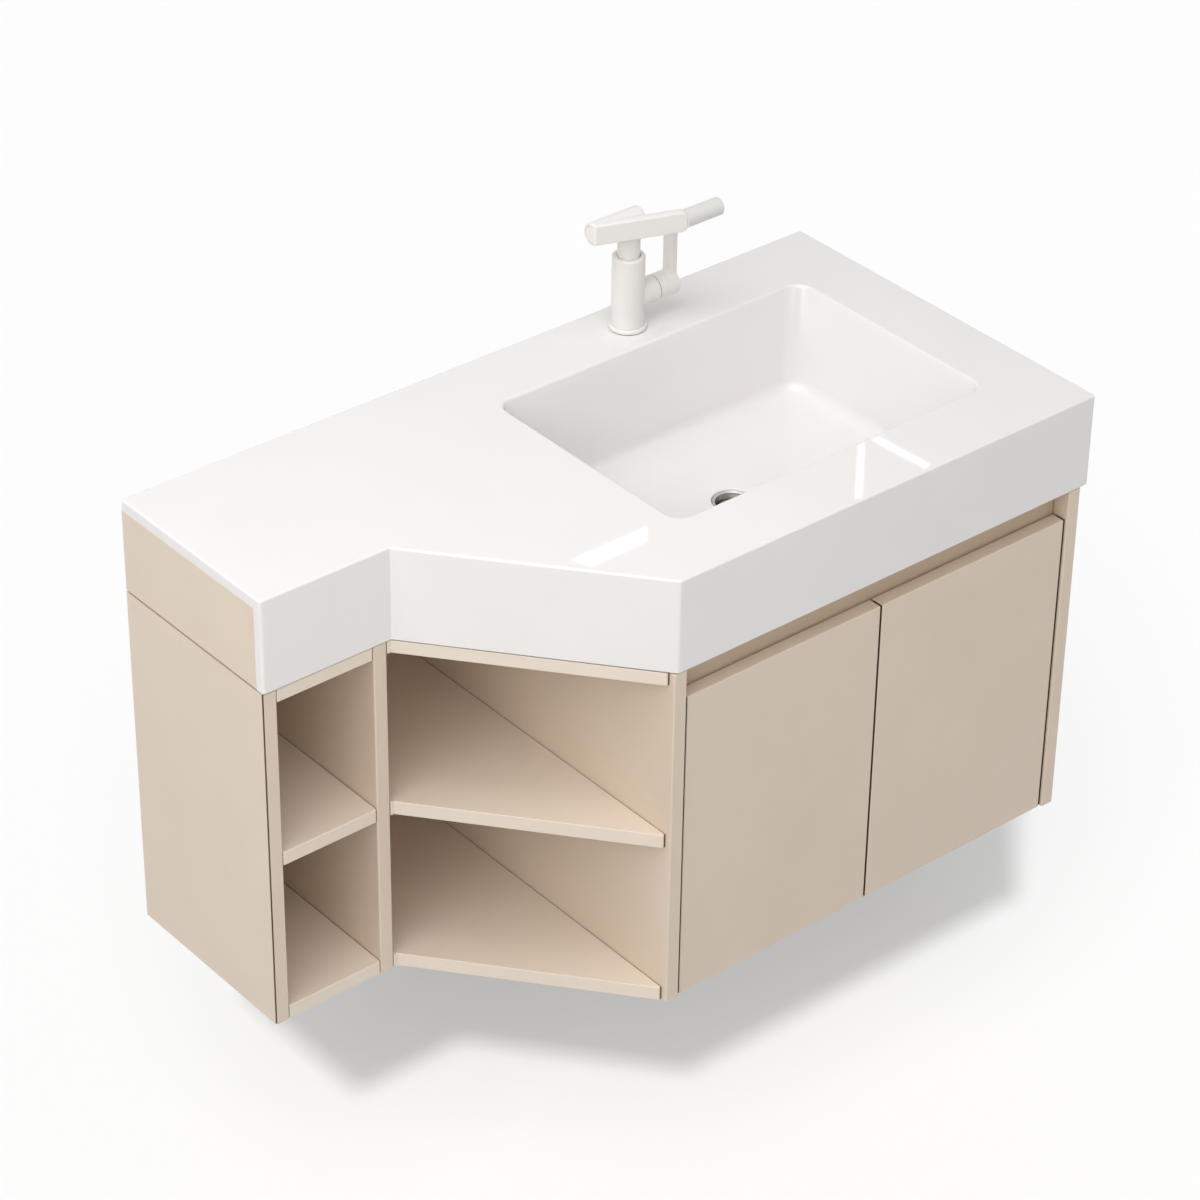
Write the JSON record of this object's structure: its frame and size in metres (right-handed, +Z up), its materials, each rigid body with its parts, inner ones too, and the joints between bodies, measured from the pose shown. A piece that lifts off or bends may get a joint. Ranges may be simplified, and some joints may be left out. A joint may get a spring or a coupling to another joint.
{
  "type": "corner vanity unit",
  "caption": "Wall-hung corner vanity unit with a moulded rectangular basin top, open shelf bays, a two-door cupboard and a swivelling mixer tap.",
  "frame": {"origin": "centre of the four wall bolts, on the wall face of the rails", "axes": "+X along the wall to the cupboard's end panel, +Y into the wall, +Z up"},
  "size_m": [1, 0.508, 0.73],
  "materials": {
    "basin": "white gloss glaze",
    "lacquer": "beige satin lacquer on fibreboard",
    "hinge_steel": "nickel-plated steel",
    "bumper": "clear soft pads",
    "rubber": "black seals",
    "waste_steel": "satin stainless steel",
    "tap_white": "white satin paint",
    "brass": "raw brass",
    "cartridge": "pale moulded plastic",
    "aerator": "grey moulded plastic"
  },
  "bodies": {
    "carcass": {"basin_top": "basin", "left_apron_panel": "lacquer", "left_side_panel": "lacquer", "cubby_divider": "lacquer", "bay_divider": "lacquer", "right_end_panel": "lacquer", "cubby_top": "lacquer", "cubby_shelf": "lacquer", "cubby_bottom": "lacquer", "bay_top": "lacquer", "bay_shelf": "lacquer", "bay_bottom": "lacquer", "cupboard_bottom": "lacquer", "finger_rail": "lacquer", "top_rail": "lacquer", "upper_rail": "lacquer", "lower_rail": "lacquer", "back_panel": "lacquer", "left_hinge_arms": "hinge_steel", "right_hinge_arms": "hinge_steel", "hinge_plates": "hinge_steel", "door_bumpers": "bumper", "waste_seal": "rubber", "waste_body": "waste_steel", "waste_washer": "rubber", "waste_nut": "waste_steel", "waste_tail": "waste_steel", "tap_gasket": "rubber", "tap_foot": "tap_white", "tap_body": "tap_white", "tap_shank": "brass", "tap_washer": "rubber", "tap_nut": "brass", "cartridge": "cartridge"},
    "left_door": {"left_door": "lacquer", "left_hinge_cups": "hinge_steel"},
    "right_door": {"right_door": "lacquer", "right_hinge_cups": "hinge_steel"},
    "lever": {"lever_collar": "tap_white", "lever": "tap_white"},
    "spout": {"spout_neck": "tap_white", "spout_seals": "rubber", "spout_arm": "tap_white", "spout_cap": "tap_white"},
    "nozzle": {"nozzle": "tap_white", "aerator": "aerator"},
    "waste_plug": {"waste_plug": "waste_steel"}
  },
  "joints": [
    {"name": "left_door_hinge", "type": "hinge", "parent": "carcass", "child": "left_door", "pos_m": [-0.2895, -0.5035, -0.015], "axis": [0, 0, -1], "range_deg": [0, 100]},
    {"name": "right_door_hinge", "type": "hinge", "parent": "carcass", "child": "right_door", "pos_m": [0.2895, -0.5035, -0.015], "axis": [0, 0, 1], "range_deg": [0, 100]},
    {"name": "lever_turn", "type": "hinge", "parent": "carcass", "child": "lever", "pos_m": [0.06, -0.052, 0.3915], "axis": [1, 0, 0], "range_deg": [0, 90]},
    {"name": "spout_swivel", "type": "hinge", "parent": "carcass", "child": "spout", "pos_m": [0, -0.052, 0.4935], "axis": [0, 0, 1], "range_deg": [-42, 20]},
    {"name": "nozzle_roll", "type": "hinge", "parent": "spout", "child": "nozzle", "pos_m": [0.06, -0.089, 0.4935], "axis": [1, 0, 0], "range_deg": [-90, 90]},
    {"name": "plug_lift", "type": "slide", "parent": "carcass", "child": "waste_plug", "axis": [0, 0, 1], "range_m": [0, 0.008]}
  ]
}
